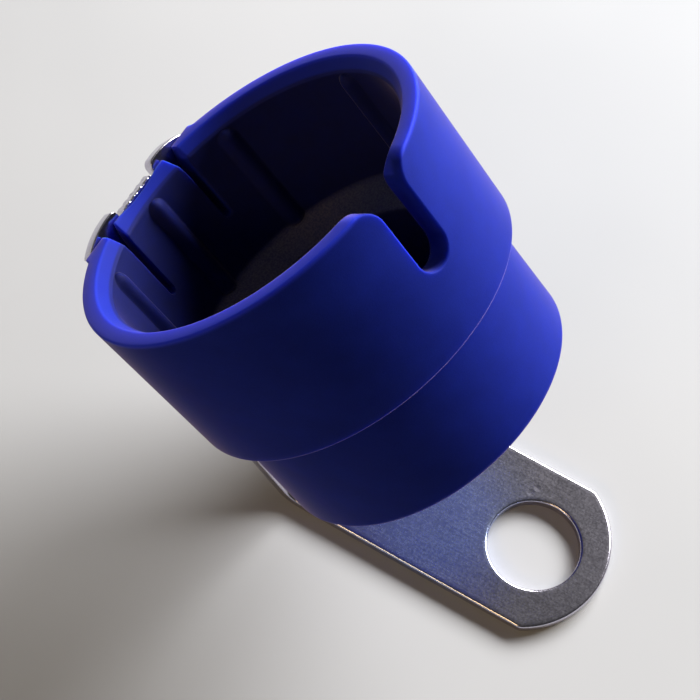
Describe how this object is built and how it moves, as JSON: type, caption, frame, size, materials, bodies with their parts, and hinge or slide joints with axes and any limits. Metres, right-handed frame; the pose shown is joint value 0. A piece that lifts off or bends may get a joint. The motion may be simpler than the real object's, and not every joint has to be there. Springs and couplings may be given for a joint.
{
  "type": "plug parking holder",
  "caption": "Moulded stepped cup with a key slot and a sprung grip tongue, carried by a bent steel strap with a bolt hole, that parks a round keyed plug.",
  "frame": {"origin": "axis of the bolt hole on the underside of the strap's tab", "axes": "+Z along the bolt hole, out of the tab's top face; +X along the tab from the bend to its round end; +Y completes a right-handed frame, and the middle plane is XZ"},
  "size_m": [0.0804, 0.0514, 0.0787],
  "materials": {
    "cup_plastic": "satin moulded blue",
    "strap_steel": "satin zinc plated"
  },
  "bodies": {
    "holder": {"cup": "cup_plastic", "mounting_strap": "strap_steel"},
    "tongue": {"grip_tongue": "cup_plastic"}
  },
  "joints": [
    {"name": "tongue_flex", "type": "hinge", "parent": "holder", "child": "tongue", "pos_m": [-0.05868, 0, 0.03753], "axis": [0, 1, 0], "range_deg": [0, 5], "stiffness_Nm_per_rad": 3}
  ]
}
